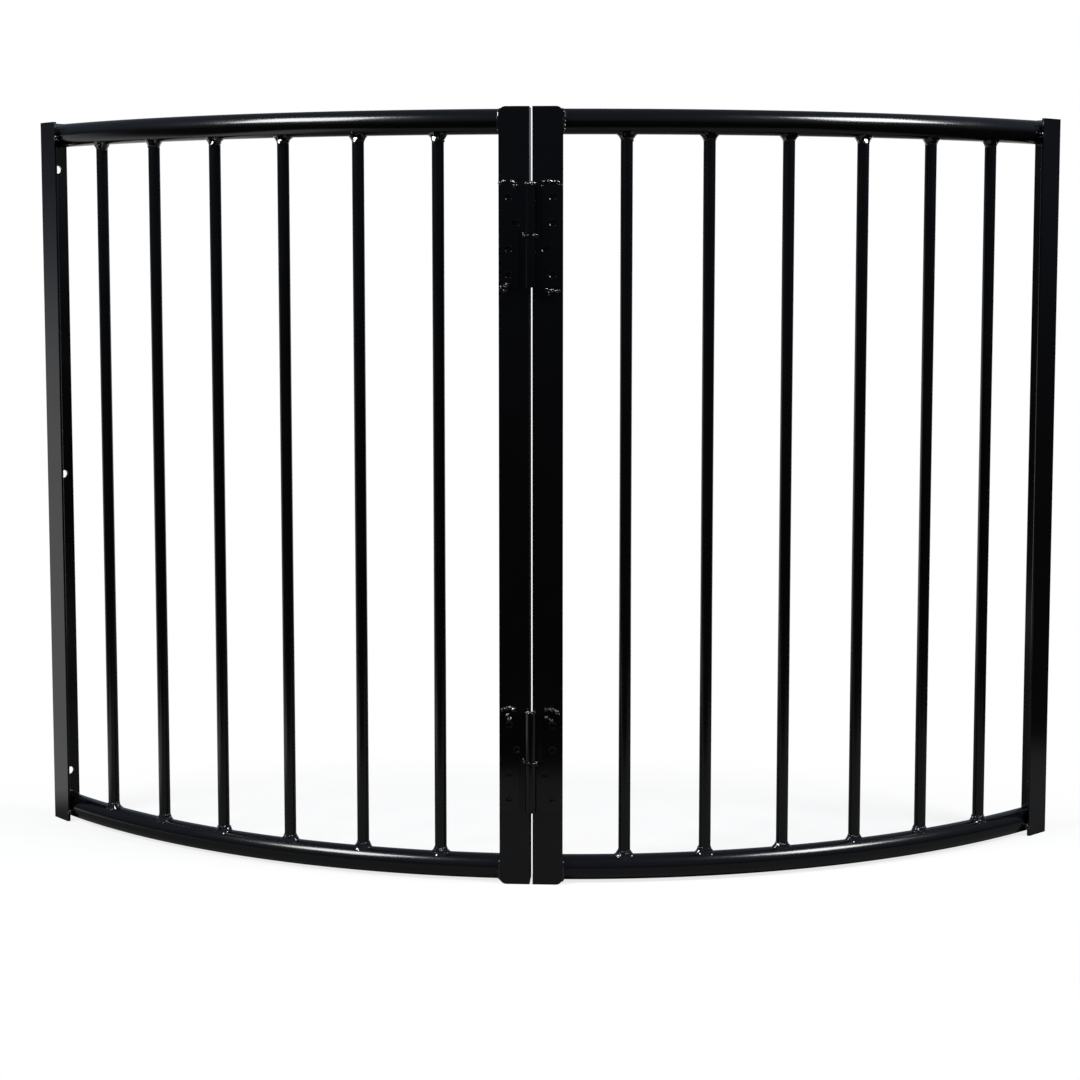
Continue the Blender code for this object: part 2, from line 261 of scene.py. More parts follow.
def shape_with(piece, tools, operation):
    """Join, trim or cut the piece with tools that don't touch each other, and throw the tools away."""
    group = bpy.data.collections.new(piece.name + "_tools")
    for tool in tools:
        group.objects.link(tool)
    boolean = piece.modifiers.new(operation, "BOOLEAN")
    boolean.operation = operation
    boolean.solver = "EXACT"
    boolean.operand_type = "COLLECTION"
    boolean.collection = group
    bake(piece)
    for tool in tools:
        bpy.data.objects.remove(tool)
    bpy.data.collections.remove(group)


def soften(piece, width, material, segments=3, crease=math.pi):
    """Round the sharp edges as the coat does, keep the flats flat, and give the piece its finish."""
    bevel = piece.modifiers.new("coated_edges", "BEVEL")
    bevel.width = width
    bevel.segments = segments
    bevel.limit_method = "ANGLE"
    bevel.angle_limit = SHARP_EDGE
    bevel.use_clamp_overlap = True
    bake(piece)
    piece.data.shade_smooth()
    piece.data.set_sharp_from_angle(angle=crease)
    flat = piece.modifiers.new("flats", "WEIGHTED_NORMAL")
    flat.weight = FLAT_WEIGHT
    flat.keep_sharp = True
    bake(piece)
    piece.data.materials.clear()
    piece.data.materials.append(material)


def angle_iron(name, heel, front_leg, side_leg, corner_radius):
    """One post: the angle's section carried up, trimmed to its front leg's rounded outline."""
    inner = ANGLE_THICKNESS + ANGLE_ROOT_RADIUS
    toe = ANGLE_LEG - ANGLE_TOE_RADIUS
    edge = ANGLE_THICKNESS - ANGLE_TOE_RADIUS
    section = [(0, 0), (ANGLE_LEG, 0)]
    section += arc((toe, edge), ANGLE_TOE_RADIUS, 0, 1)
    section += arc((inner, inner), ANGLE_ROOT_RADIUS, 3, 2)
    section += arc((edge, toe), ANGLE_TOE_RADIUS, 0, 1)
    section += [(0, ANGLE_LEG)]
    heel_x, heel_y = heel.dot(front_leg), heel.dot(side_leg)
    section = [(heel_x + u, heel_y + v) for u, v in section]
    post = extruded(name, section, 0, POST_LENGTH, front_leg, side_leg, UP)
    reach = 2 * ANGLE_LEG
    width = ANGLE_LEG - corner_radius
    outline = [(heel_x - reach, POST_LENGTH), (heel_x - reach, 0)]
    outline += arc((heel_x + width, corner_radius), corner_radius, -1, 0, ROUND_STEPS)
    outline += arc((heel_x + width, POST_LENGTH - corner_radius), corner_radius, 0, 1, ROUND_STEPS)
    trim = extruded(name + "_trim", outline, heel_y - reach, heel_y + reach, front_leg, UP, side_leg)
    shape_with(post, [trim], "INTERSECT")
    return post


def wall_directions(sign):
    """Out from the corner through a wall post's front leg, and along that leg towards the wall."""
    outward = Vector((sign * math.sin(WALL_ANGLE), -math.cos(WALL_ANGLE), 0))
    towards_wall = Vector((sign * math.cos(WALL_ANGLE), math.sin(WALL_ANGLE), 0))
    return outward, towards_wall


for side, sign in SIDES.items():
    centre_heel = Vector((sign * POST_GAP / 2, FRONT_Y, 0))
    centre_post = angle_iron(f"{side}_centre_post_iron", centre_heel, Vector((sign, 0, 0)), BACK,
                             CENTRE_CORNER_RADIUS)
    soften(centre_post, COATED_EDGE, centre_post_coat)

    outward, towards_wall = wall_directions(sign)
    wall_heel = CORNER + outward * FRONT_RADIUS
    wall_post = angle_iron(f"{side}_wall_post_iron", wall_heel, -towards_wall, -outward, WALL_CORNER_RADIUS)
    drills = []
    for height in (WALL_HOLE_FROM_END, POST_LENGTH / 2, POST_LENGTH - WALL_HOLE_FROM_END):
        centre = wall_heel - outward * WALL_HOLE_FROM_HEEL + UP * height
        drills.append(round_tool("drill", WALL_HOLE_DIAMETER / 2, 4 * ANGLE_THICKNESS, centre, towards_wall))
    shape_with(wall_post, drills, "DIFFERENCE")
    soften(wall_post, COATED_EDGE, black_powder_coat)

    for post, where in ((centre_post, "centre"), (wall_post, "wall")):
        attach(post, f"{side}_half")
        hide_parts(f"{side}_{where}_post")

# Rails: 25 mm round tube with a thin wall, bent round the corner in a quarter circle for each level and cut
# in half at the centre posts. The tube lies behind the posts' front legs and stops against their side legs.
rail_low, rail_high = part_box("right_top_rail")
TUBE_RADIUS = (rail_high.z - rail_low.z) / 2
TUBE_WALL = 0.0015
FIT = 0.0003
BEND_RADIUS = FRONT_RADIUS - ANGLE_THICKNESS - FIT - TUBE_RADIUS
TOP_LEVEL = (rail_low.z + rail_high.z) / 2
RAIL_LEVELS = {"top": TOP_LEVEL, "bottom": POST_LENGTH - TOP_LEVEL}
INNER_BEND = BEND_RADIUS - TUBE_RADIUS
RAIL_START = math.asin((POST_GAP / 2 + ANGLE_THICKNESS + FIT) / INNER_BEND)
RAIL_END = WALL_ANGLE - math.asin((ANGLE_THICKNESS + FIT) / INNER_BEND)


def geometry_tree(name, sizes):
    """A geometry tree with Geometry, the named sizes and Material as inputs, and the sockets of those."""
    tree = bpy.data.node_groups.new(name, "GeometryNodeTree")
    tree.interface.new_socket("Geometry", in_out="INPUT", socket_type="NodeSocketGeometry")
    for label, value in sizes.items():
        kind = "NodeSocketInt" if isinstance(value, int) else "NodeSocketFloat"
        tree.interface.new_socket(label, in_out="INPUT", socket_type=kind).default_value = value
    tree.interface.new_socket("Material", in_out="INPUT", socket_type="NodeSocketMaterial")
    tree.interface.new_socket("Geometry", in_out="OUTPUT", socket_type="NodeSocketGeometry")
    return tree, tree.nodes.new("NodeGroupInput").outputs


def end_tree(tree, geometry, material):
    """End a geometry tree with real, smooth and coated geometry."""
    real = node(tree, "GeometryNodeRealizeInstances", {"Geometry": geometry}).outputs[0]
    smooth = node(tree, "GeometryNodeSetShadeSmooth", {"Geometry": real}).outputs[0]
    coated = node(tree, "GeometryNodeSetMaterial", {"Geometry": smooth, "Material": material}).outputs[0]
    tree.links.new(coated, tree.nodes.new("NodeGroupOutput").inputs[0])


def from_tree(name, tree, sizes, mesh=None):
    """A piece that a geometry tree makes from the given sizes, still live."""
    piece = add_piece(name, mesh or bpy.data.meshes.new(name))
    modifier = piece.modifiers.new(tree.name, "NODES")
    modifier.node_group = tree
    for item in tree.interface.items_tree:
        if item.in_out == "INPUT" and item.name in sizes:
            modifier[item.identifier] = sizes[item.name]
    return piece


def join_xyz(tree, x=0.0, y=0.0, z=0.0):
    """The output of a Combine XYZ node."""
    return node(tree, "ShaderNodeCombineXYZ", {"X": x, "Y": y, "Z": z}).outputs[0]


def round_skin(tree, path, radius, sides, settings=()):
    """A round skin of that radius along the path."""
    ring = node(tree, "GeometryNodeCurvePrimitiveCircle", {"Resolution": sides, "Radius": radius})
    inputs = {"Curve": path, "Profile Curve": ring.outputs["Curve"], **dict(settings)}
    return node(tree, "GeometryNodeCurveToMesh", inputs).outputs[0]


def bent_tube_tree():
    """The skin of one rail's tube, open at its ends, on an arc about the corner."""
    tree, given = geometry_tree("bent_tube", {
        "Bend Radius": BEND_RADIUS, "Tube Radius": TUBE_RADIUS, "First Angle": RAIL_START,
        "Sweep": RAIL_END - RAIL_START, "Corner Y": CORNER_Y, "Height": TUBE_RADIUS, "Steps": 120,
        "Sides": 64})
    path = node(tree, "GeometryNodeCurveArc", {
        "Resolution": given["Steps"], "Radius": given["Bend Radius"], "Start Angle": given["First Angle"],
        "Sweep Angle": given["Sweep"]})
    centre = join_xyz(tree, 0.0, given["Corner Y"], given["Height"])
    placed = node(tree, "GeometryNodeTransform", {"Geometry": path.outputs["Curve"], "Translation": centre})
    skin = round_skin(tree, placed.outputs[0], given["Tube Radius"], given["Sides"])
    end_tree(tree, skin, given["Material"])
    return tree


bent_tube = bent_tube_tree()
for side, sign in SIDES.items():
    for level, height in RAIL_LEVELS.items():
        first = (RAIL_START if sign > 0 else -RAIL_END) - math.pi / 2
        sizes = {"First Angle": first, "Height": height, "Material": black_powder_coat}
        rail = from_tree(f"{side}_{level}_rail_tube", bent_tube, sizes)
        wall = rail.modifiers.new("tube_wall", "SOLIDIFY")
        wall.thickness = TUBE_WALL
        wall.offset = -1
        bake(rail)
        rail.data.set_sharp_from_angle(angle=SHARP_EDGE)
        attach(rail, f"{side}_half")
        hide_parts(f"{side}_{level}_rail")

# Bars: 12 mm round steel bar, cut square with the burr taken off, butted between the crowns of the two rails
# and welded there. Each half has six, evenly spaced along the rails.
bar_low, bar_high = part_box("right_bar_1")
BAR_RADIUS = (bar_high.y - bar_low.y) / 2
BARS_PER_HALF = 6
BAR_CHAMFER = 0.0006
first_bar_x = (bar_low.x + bar_high.x) / 2
FIRST_BAR_ANGLE = math.asin(first_bar_x / BEND_RADIUS)
BAR_STEP = (WALL_ANGLE - 2 * FIRST_BAR_ANGLE) / (BARS_PER_HALF - 1)


def along_the_rails(tree, given, number):
    """Where the bar of that number stands on the rails' circle, and how far the rail has turned there."""
    angle = calc(tree, "MULTIPLY_ADD", number, given["Bar Step"], given["First Bar Angle"])
    turned = calc(tree, "MULTIPLY", angle, given["Side"])
    out = calc(tree, "MULTIPLY", calc(tree, "SINE", turned), given["Bend Radius"])
    back = calc(tree, "MULTIPLY", calc(tree, "COSINE", turned), given["Bend Radius"])
    return out, calc(tree, "SUBTRACT", given["Corner Y"], back), turned


ROW_SIZES = {"Bend Radius": BEND_RADIUS, "Corner Y": CORNER_Y, "First Bar Angle": FIRST_BAR_ANGLE,
             "Bar Step": BAR_STEP, "Bars": BARS_PER_HALF, "Side": 1.0}


def repeated(tree, shape, count, place, turn, size=(1, 1, 1)):
    """The shape once for each of count points, with fields for its place, turn and size there."""
    points = node(tree, "GeometryNodePoints", {"Count": count, "Position": place}).outputs[0]
    rotation = node(tree, "FunctionNodeEulerToRotation", {0: turn}).outputs[0]
    inputs = {"Points": points, "Instance": shape, "Rotation": rotation, "Scale": size}
    row = node(tree, "GeometryNodeInstanceOnPoints", inputs).outputs[0]
    return node(tree, "GeometryNodeRealizeInstances", {"Geometry": row}).outputs[0]


def bar_row_tree():
    """The bars of one half."""
    tree, given = geometry_tree("bar_row", {**ROW_SIZES, "Bar Radius": BAR_RADIUS, "Low": bar_low.z,
                                            "High": bar_high.z, "Sides": 40})
    number = tree.nodes.new("GeometryNodeInputIndex").outputs[0]
    out, back, turned = along_the_rails(tree, given, number)
    ends = {"Start": join_xyz(tree, z=given["Low"]), "End": join_xyz(tree, z=given["High"])}
    line = node(tree, "GeometryNodeCurvePrimitiveLine", ends).outputs[0]
    rod = round_skin(tree, line, given["Bar Radius"], given["Sides"], {"Fill Caps": True})
    row = repeated(tree, rod, given["Bars"], join_xyz(tree, out, back), join_xyz(tree, z=turned))
    end_tree(tree, row, given["Material"])
    return tree


bar_row = bar_row_tree()
for side, sign in SIDES.items():
    bars = from_tree(f"{side}_bars", bar_row, {"Side": float(sign), "Material": black_powder_coat})
    soften(bars, BAR_CHAMFER, black_powder_coat, segments=2)
    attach(bars, f"{side}_half")
    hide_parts(*[f"{side}_bar_{number}" for number in range(1, BARS_PER_HALF + 1)])

# Bar welds: a fillet all round each bar where it meets a rail, run by hand with the wire, so no two have the
# same lumps, and metal that sagged down in front of five bars. It is steel under the same coat, which lies
# thicker and wetter over the ripples.
WELD_FLARE = 0.0046
WELD_LEAST_FLARE = 0.6
WELD_RISE = 0.0058
WELD_HOLLOW = 1.35
WELD_SINK = 0.0008
WELD_RINGS = 9
WELD_STEPS = 84
RIPPLES = 11
RIPPLE_DEPTH = 0.05
RIPPLE_LEAN = 2
SWELL_WIDTH = 5.0
UPPER_CALM = 0.4
DROP_LEAST, DROP_MOST = (0.45, 0.45, 0.4), (1.2, 1.2, 1.0)
SAG_SIZE = (0.0036, 0.0014, 0.0040)
SAG_FLATNESS = 0.4
SAG_TAPER = 0.4
SAG_OUT = 0.0020
SAG_FRONT = 0.0058
SAG_FALL = 0.0040
SAG_LEAN = math.radians(20)
SAG_SWAY = 0.07
SAG_LEAST, SAG_MOST = 0.8, 1.15
SAG_LUMPS = 0.25
SAG_ROWS = {"left": {"First Sag": 0, "Sags": 4, "Sag Turn": math.radians(17), "Sag Scale": 1.0},
            "right": {"First Sag": 3, "Sags": 1, "Sag Turn": math.radians(27), "Sag Scale": 0.85}}
WELD_PEEL_DEPTH = 0.000005
weld_coat = coated_steel("weld_powder_coat", WELD_PEEL_DEPTH, peel_width=0.0022, gloss=0.07, nib_height=3.0)
wet_skin = weld_coat.node_tree.nodes["Principled BSDF"].inputs
wet_skin["Coat Weight"].default_value = 1.0
wet_skin["Coat Roughness"].default_value = 0.04


def fillet_pattern():
    """One fillet round an upright bar on a tube along X, lofted from the tube's skin up to the bar's."""
    work = bmesh.new()
    hoops = []
    for ring in range(WELD_RINGS + 2):
        share = min(ring, WELD_RINGS) / WELD_RINGS
        hoop = []
        for step in range(WELD_STEPS):
            turn = math.tau * step / WELD_STEPS
            ripple = 1 + RIPPLE_DEPTH * math.sin(RIPPLES * turn + RIPPLE_LEAN * share)
            wide = WELD_LEAST_FLARE + (1 - WELD_LEAST_FLARE) * math.cos(turn) ** 2
            flare = WELD_FLARE * wide * ripple * (1 - share) ** WELD_HOLLOW
            rise = WELD_RISE * ripple * share ** WELD_HOLLOW
            if ring > WELD_RINGS:
                flare, rise = -WELD_SINK, -WELD_SINK
            reach = BAR_RADIUS + flare
            x, y = reach * math.cos(turn), reach * math.sin(turn)
            skin = math.sqrt(TUBE_RADIUS ** 2 - y ** 2)
            sink = WELD_SINK / 2 * (1 - share)
            hoop.append(work.verts.new((x, y, skin - sink + rise)))
        hoops.append(hoop)
    hoops.append(hoops[0])
    for lower, upper in zip(hoops, hoops[1:]):
        for step in range(WELD_STEPS):
            after = (step + 1) % WELD_STEPS
            work.faces.new((lower[step], lower[after], upper[after], upper[step]))
    return closed_piece("fillet_pattern", work)


def sag_pattern():
    """A drop of weld metal that ran down the bar and set: nearly flat in front, and narrower below."""
    work = bmesh.new()
    bmesh.ops.create_icosphere(work, subdivisions=4, radius=1)
    for corner in work.verts:
        x, y, z = corner.co
        flattened = math.copysign(abs(y) ** SAG_FLATNESS, y)
        corner.co = (x * (1 + SAG_TAPER * z) * SAG_SIZE[0], flattened * SAG_SIZE[1], z * SAG_SIZE[2])
    return closed_piece("sag_pattern", work)


def lumpy(tree, geometry, width, depth, seed):
    """Push the geometry in and out along its normals by noise of that width, up to that depth."""
    position = tree.nodes.new("GeometryNodeInputPosition").outputs[0]
    place = node(tree, "ShaderNodeVectorMath", {0: position, 1: seed}, operation="ADD").outputs[0]
    inputs = {"Vector": place, "Scale": calc(tree, "DIVIDE", 1.0, width), "Detail": 2.0}
    noise = node(tree, "ShaderNodeTexNoise", inputs).outputs["Fac"]
    push = calc(tree, "MULTIPLY", calc(tree, "MULTIPLY_ADD", noise, 2.0, -1.0), depth)
    normal = tree.nodes.new("GeometryNodeInputNormal").outputs[0]
    offset = node(tree, "ShaderNodeVectorMath", {0: normal, "Scale": push}, operation="SCALE").outputs[0]
    return node(tree, "GeometryNodeSetPosition", {"Geometry": geometry, "Offset": offset}).outputs[0]


def together(tree, *parts):
    """The parts as one geometry."""
    join = tree.nodes.new("GeometryNodeJoinGeometry")
    for part in parts:
        tree.links.new(part, join.inputs[0])
    return join.outputs[0]


def with_drops(tree, geometry, given):
    """Add small round drops of metal, strewn over the geometry and half sunk in it."""
    inputs = {"Mesh": geometry, "Density": given["Drops"], "Seed": 3}
    spots = node(tree, "GeometryNodeDistributePointsOnFaces", inputs).outputs
    inputs = {"Radius": given["Drop Size"], "Subdivisions": 3}
    drop = node(tree, "GeometryNodeMeshIcoSphere", inputs).outputs[0]
    inputs = {0: join_xyz(tree, *DROP_LEAST), 1: join_xyz(tree, *DROP_MOST), "Seed": 5}
    size = node(tree, "FunctionNodeRandomValue", inputs, data_type="FLOAT_VECTOR").outputs[0]
    inputs = {"Points": spots["Points"], "Instance": drop, "Rotation": spots["Rotation"], "Scale": size}
    return together(tree, node(tree, "GeometryNodeInstanceOnPoints", inputs).outputs[0], geometry)


def bar_weld_tree(fillet, sag):
    """Two fillets a bar, one of them turned over under the upper rail, and a sag in front of some bars."""
    tree, given = geometry_tree("bar_welds", {
        **ROW_SIZES, **SAG_ROWS["left"], "Lower Rail": RAIL_LEVELS["bottom"],
        "Upper Rail": RAIL_LEVELS["top"], "Lump Width": 0.0030, "Lump Depth": 0.0009, "Drops": 12000.0,
        "Drop Size": 0.0011, "Seed": 1.0})
    index = tree.nodes.new("GeometryNodeInputIndex").outputs[0]
    number = calc(tree, "FLOOR", calc(tree, "DIVIDE", index, 2.0))
    upper = calc(tree, "MODULO", index, 2.0)
    out, back, turned = along_the_rails(tree, given, number)
    rise = calc(tree, "MULTIPLY", upper, calc(tree, "SUBTRACT", given["Upper Rail"], given["Lower Rail"]))
    place = join_xyz(tree, out, back, calc(tree, "ADD", rise, given["Lower Rail"]))
    turn = join_xyz(tree, calc(tree, "MULTIPLY", upper, math.pi), 0.0, turned)
    shape = node(tree, "GeometryNodeObjectInfo", {"Object": fillet}).outputs["Geometry"]
    row = repeated(tree, shape, calc(tree, "MULTIPLY", given["Bars"], 2.0), place, turn)
    up = split_xyz(tree, tree.nodes.new("GeometryNodeInputPosition").outputs[0])["Z"]
    middle = calc(tree, "MULTIPLY", given["Upper Rail"], 0.5)
    calmer = calc(tree, "MULTIPLY_ADD", calc(tree, "GREATER_THAN", up, middle), -UPPER_CALM, 1.0)
    depth = calc(tree, "MULTIPLY", given["Lump Depth"], calmer)
    swollen = lumpy(tree, row, calc(tree, "MULTIPLY", given["Lump Width"], SWELL_WIDTH), depth, given["Seed"])
    rough = lumpy(tree, swollen, given["Lump Width"], depth, given["Seed"])
    fillets = with_drops(tree, rough, given)

    out, back, turned = along_the_rails(tree, given, calc(tree, "ADD", index, given["First Sag"]))
    out = calc(tree, "MULTIPLY_ADD", given["Side"], SAG_OUT, out)
    fallen = calc(tree, "SUBTRACT", given["Upper Rail"], TUBE_RADIUS + SAG_FALL)
    place = join_xyz(tree, out, calc(tree, "SUBTRACT", back, SAG_FRONT), fallen)
    sway = node(tree, "FunctionNodeRandomValue", {2: -SAG_SWAY, 3: SAG_SWAY, "Seed": 4}).outputs[1]
    turn = join_xyz(tree, -SAG_LEAN, sway, calc(tree, "MULTIPLY_ADD", given["Sag Turn"], given["Side"], sway))
    size = node(tree, "FunctionNodeRandomValue", {2: SAG_LEAST, 3: SAG_MOST, "Seed": 7}).outputs[1]
    size = calc(tree, "MULTIPLY", size, given["Sag Scale"])
    shape = node(tree, "GeometryNodeObjectInfo", {"Object": sag}).outputs["Geometry"]
    hung = repeated(tree, shape, given["Sags"], place, turn, size)
    depth = calc(tree, "MULTIPLY", given["Lump Depth"], SAG_LUMPS)
    sags = lumpy(tree, hung, given["Lump Width"], depth, given["Seed"])
    end_tree(tree, together(tree, sags, fillets), given["Material"])
    return tree


fillet = fillet_pattern()
sag = sag_pattern()
bar_welds = bar_weld_tree(fillet, sag)
for side, sign in SIDES.items():
    sizes = {"Side": float(sign), **SAG_ROWS[side], "Seed": 2.0 + sign, "Material": weld_coat}
    welds = from_tree(f"{side}_bar_welds", bar_welds, sizes)
    bake(welds)
    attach(welds, f"{side}_half")
bpy.data.objects.remove(fillet)
bpy.data.objects.remove(sag)

# Rail welds: where a tube passes behind a centre post's front leg, a bead runs up the leg's edge over the
# tube's crown. On the wall posts it is one short, fat lump. Where a tube stops against a side leg, a rougher
# bead follows the half of its end that the welder could reach.
BEAD_RADIUS = 0.0018
BEAD_STEP = 0.00045
BEAD_SWELL = 2.5
BLUNT_END = 1.02
EDGE_RIPPLES = {("left", "top"): 0.02, ("left", "bottom"): 0.16, ("right", "top"): 0.40,
                ("right", "bottom"): 0.03}
EDGE_LUMPS = 0.003
EDGE_DROPS = 22500
ROUGH_RUN = (0.10, 0.0012, 9000.0)
BEAD_REACH = 0.0095
BEAD_END_REACH = 0.0120
EDGE_STEPS = 10
TUBE_SHARE = 0.5
LEG_SHARE = 0.75
LUMP_RADIUS = 0.0030
LUMP_REACH = 0.0030
LUMP_FALL = 0.0035
LUMP_SHARE = 0.3
END_BEAD_RADIUS = 0.0018
END_SHARE = 0.35
END_STEPS = 16
CENTRE_END_TURN = (-20, 140)
WALL_END_TURN = (15, 160)


def weld_bead_tree():
    """A hand-run bead along each line of the mesh: rounded ends, ripples along it, and lumps all over."""
    tree, given = geometry_tree("weld_bead", {
        "Bead Radius": BEAD_RADIUS, "Ripple Pitch": 0.0021, "Ripple Depth": 0.10, "End Length": 0.003,
        "Lump Width": 0.0028, "Lump Depth": 0.0006, "Drops": 9000.0, "Drop Size": 0.0009, "Sides": 18,
        "Seed": 1.0})
    line = node(tree, "GeometryNodeMeshToCurve", {"Mesh": given["Geometry"]}).outputs[0]
    eased = node(tree, "GeometryNodeCurveSplineType", {"Curve": line}, spline_type="CATMULL_ROM").outputs[0]
    inputs = {"Curve": eased, "Length": BEAD_STEP}
    path = node(tree, "GeometryNodeResampleCurve", inputs, mode="LENGTH").outputs[0]
    run = tree.nodes.new("GeometryNodeSplineParameter").outputs["Length"]
    total = tree.nodes.new("GeometryNodeSplineLength").outputs["Length"]
    to_end = calc(tree, "MINIMUM", run, calc(tree, "SUBTRACT", total, run))
    near = calc(tree, "SUBTRACT", 1.0, calc(tree, "DIVIDE", to_end, given["End Length"]), use_clamp=True)
    cap = calc(tree, "SQRT", calc(tree, "SUBTRACT", BLUNT_END, calc(tree, "MULTIPLY", near, near)))
    phase = calc(tree, "MULTIPLY", calc(tree, "DIVIDE", run, given["Ripple Pitch"]), math.tau)
    ripple = calc(tree, "MULTIPLY_ADD", calc(tree, "SINE", phase), given["Ripple Depth"], 1.0)
    settings = {"Scale": calc(tree, "MULTIPLY", cap, ripple), "Fill Caps": True}
    bead = round_skin(tree, path, given["Bead Radius"], given["Sides"], settings)
    width = calc(tree, "MULTIPLY", given["Lump Width"], BEAD_SWELL)
    swollen = lumpy(tree, bead, width, given["Lump Depth"], given["Seed"])
    rough = lumpy(tree, swollen, given["Lump Width"], given["Lump Depth"], given["Seed"])
    end_tree(tree, with_drops(tree, rough, given), given["Material"])
    return tree


weld_bead = weld_bead_tree()


def lines(name, routes):
    """A mesh of open lines, one for each route of points."""
    work = bmesh.new()
    for route in routes:
        corners = [work.verts.new(point) for point in route]
        for first, second in zip(corners, corners[1:]):
            work.edges.new((first, second))
    return as_mesh(name, work)


def degrees(start, end, steps):
    """Evenly spaced angles from start to end, which are in degrees."""
    return [math.radians(start + (end - start) * step / steps) for step in range(steps + 1)]


def leg_edge_bead(toe, outward, along, height, low, high, corner_radius):
    """Up a front leg's edge and in with its rounded corner, and back with the curve of the tube behind."""
    route = []
    for step in range(EDGE_STEPS + 1):
        rise = low + (high - low) * step / EDGE_STEPS
        sink = (TUBE_RADIUS - math.sqrt(TUBE_RADIUS ** 2 - rise ** 2)) * TUBE_SHARE
        level = height + rise
        over = max(0, corner_radius - min(level, POST_LENGTH - level))
        inset = corner_radius - math.sqrt(corner_radius ** 2 - over ** 2)
        route.append(toe - outward * sink - along * inset + UP * level)
    return route


def tube_end_bead(centre, inward, upward, start, end):
    """Round part of a tube's end on the side leg, with angles from the tube's inner side towards upward."""
    reach = TUBE_RADIUS + END_BEAD_RADIUS * END_SHARE
    return [centre + (inward * math.cos(turn) + upward * math.sin(turn)) * reach
            for turn in degrees(start, end, END_STEPS)]


for side, sign in SIDES.items():
    outward, towards_wall = wall_directions(sign)
    across = Vector((sign, 0, 0))
    leg_back = FRONT_RADIUS - ANGLE_THICKNESS * LEG_SHARE
    lump_routes = []
    end_routes = []
    beads = []
    for level, height in RAIL_LEVELS.items():
        away = UP if level == "bottom" else -UP
        centre_toe = CORNER - BACK * leg_back + across * (POST_GAP / 2 + ANGLE_LEG)
        reaches = (-BEAD_END_REACH, BEAD_REACH) if level == "bottom" else (-BEAD_REACH, BEAD_END_REACH)
        edge_route = leg_edge_bead(centre_toe, -BACK, across, height, *reaches, CENTRE_CORNER_RADIUS)
        ripple = EDGE_RIPPLES[side, level]
        edge_run = (ripple, EDGE_LUMPS * ripple, EDGE_DROPS * ripple)
        beads.append((f"{level}_leg_edge", [edge_route], BEAD_RADIUS, edge_run))
        wall_toe = CORNER + outward * leg_back - towards_wall * (ANGLE_LEG + LUMP_RADIUS * LUMP_SHARE)
        lump_routes.append(leg_edge_bead(wall_toe, outward, -towards_wall, height - LUMP_FALL, -LUMP_REACH,
                                         LUMP_REACH, WALL_CORNER_RADIUS))
        centre_end = CORNER - BACK * BEND_RADIUS + across * (POST_GAP / 2 + ANGLE_THICKNESS) + UP * height
        end_routes.append(tube_end_bead(centre_end, BACK, away, *CENTRE_END_TURN))
        wall_end = CORNER + outward * BEND_RADIUS - towards_wall * ANGLE_THICKNESS + UP * height
        end_routes.append(tube_end_bead(wall_end, -outward, away, *WALL_END_TURN))
    beads.append(("wall_lump", lump_routes, LUMP_RADIUS, ROUGH_RUN))
    beads.append(("tube_end", end_routes, END_BEAD_RADIUS, ROUGH_RUN))
    for label, routes, radius, (ripple, lump, drops) in beads:
        name = f"{side}_{label}_welds"
        sizes = {"Bead Radius": radius, "Ripple Pitch": 0.0042, "Ripple Depth": ripple, "Lump Depth": lump,
                 "Drops": drops, "Seed": 5.0 + sign, "Material": weld_coat}
        welds = from_tree(name, weld_bead, sizes, lines(name, routes))
        bake(welds)
        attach(welds, f"{side}_half")

# Hinge leaves: mild steel strip, rolled round the pin at one half of its height and countersunk for screws,
# but welded on the front of the centre posts. Painted with the rest, and so thickly at the lower hinge that
# its countersinks are only shallow dishes.
hinge_low, hinge_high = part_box("upper_hinge_pin")
knuckle_low, knuckle_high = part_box("upper_hinge_left_leaf")
washer_low, washer_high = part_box("upper_hinge_washer")
PIN_Y = (hinge_low.y + hinge_high.y) / 2
PIN_RADIUS = (hinge_high.x - hinge_low.x) / 2
HINGE_HEIGHT = hinge_high.z - hinge_low.z
BARREL_RADIUS = knuckle_high.x
LEAF_WIDTH = -knuckle_low.x
LEAF_THICKNESS = 0.0022
BORE_RADIUS = BARREL_RADIUS - LEAF_THICKNESS
KNUCKLE_PROUD = 0.0002
WASHER_THICKNESS = washer_high.z - washer_low.z
KNUCKLE_LENGTH = (HINGE_HEIGHT - WASHER_THICKNESS - 2 * FIT) / 2
KNUCKLE_RELIEF = 0.006
LEAF_CORNER_RADIUS = 0.0015
LEAF_KINDS = {"upper": {"edge": 0.0002, "crease": math.pi, "slope": 1.0},
              "lower": {"edge": 0.00006, "crease": math.radians(12), "slope": 0.35}}
CURL_STEPS = 88
CURL_INSIDE = 0.8
BORE_SIDES = 96
CURL_START = 0.67
CURL_END = 4.34
SCREW_HOLE_RADIUS = 0.0026
SCREW_SINK_RADIUS = 0.0035
SCREW_PITCH = 0.025
SCREWS = 4
SCREW_OUT = 0.0215
SCREW_IN = 0.0140
UPPER_MIDDLE = (hinge_low.z + hinge_high.z) / 2
HINGE_MIDDLES = {"upper": UPPER_MIDDLE, "lower": POST_LENGTH - UPPER_MIDDLE}
LEAF_FRONT = BARREL_RADIUS - KNUCKLE_PROUD - LEAF_THICKNESS
TURNED_SIDES = 64
MERGE_DISTANCE = 0.000001
HINGE_PEEL_DEPTH = 0.000006
hinge_black_coat = coated_steel("hinge_black_coat", HINGE_PEEL_DEPTH, peel_width=0.0026, nib_spacing=0.009,
                                gloss=0.13)


